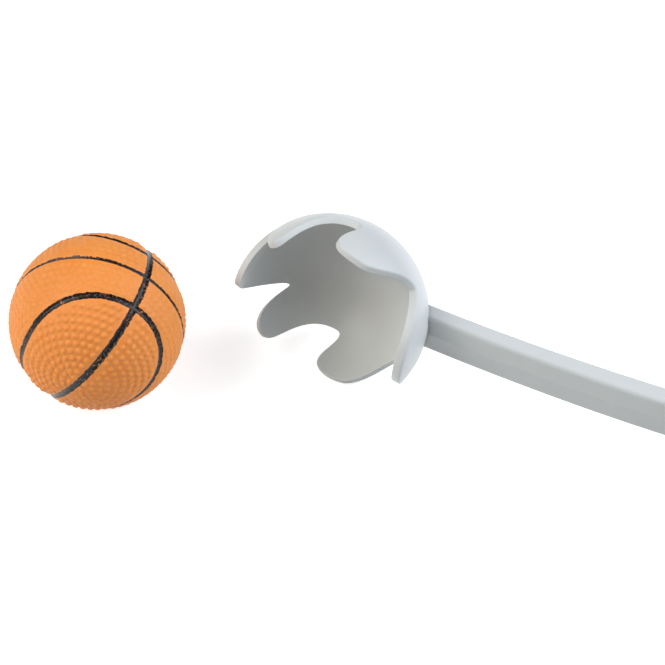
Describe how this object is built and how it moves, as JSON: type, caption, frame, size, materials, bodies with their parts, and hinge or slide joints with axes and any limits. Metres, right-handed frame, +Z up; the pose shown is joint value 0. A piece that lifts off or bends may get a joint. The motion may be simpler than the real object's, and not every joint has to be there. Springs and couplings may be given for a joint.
{
  "type": "dog ball thrower",
  "caption": "Dog ball thrower with a fingered cup on a slim curved arm, a ringed handle grip with a hang eye, and a loose squeaky ball with basketball-style seams.",
  "frame": {"origin": "centre of the cup's bowl, where the ball's centre sits when it is loaded", "axes": "+X along the arm to the handle, the cup opens to -Y, +Z up with the thrower lying on its side on a floor at the cup's lowest point"},
  "size_m": [0.5735, 0.1588, 0.0693],
  "materials": {
    "thrower_plastic": "satin",
    "screw_steel": "plain",
    "grip_rubber": "matt",
    "ball_vinyl": "matt, with black painted seams",
    "squeaker_plastic": "satin",
    "reed_brass": "bright"
  },
  "bodies": {
    "thrower": {"cup": "thrower_plastic", "arm": "thrower_plastic", "handle_core": "thrower_plastic", "handle_screws": "screw_steel", "grip_sleeve": "grip_rubber", "end_cap": "thrower_plastic"},
    "ball": {"ball_shell": "ball_vinyl", "squeaker_body": "squeaker_plastic", "squeaker_cap": "squeaker_plastic", "squeaker_reed": "reed_brass"}
  },
  "joints": [
    {"name": "ball_swing", "type": "hinge", "parent": "thrower", "child": "ball", "pos_m": [-0.04248, -0.00203, -0.00294], "axis": [-0.0698, 0.0159, 0.9974], "range_deg": [0, 139.1]}
  ]
}
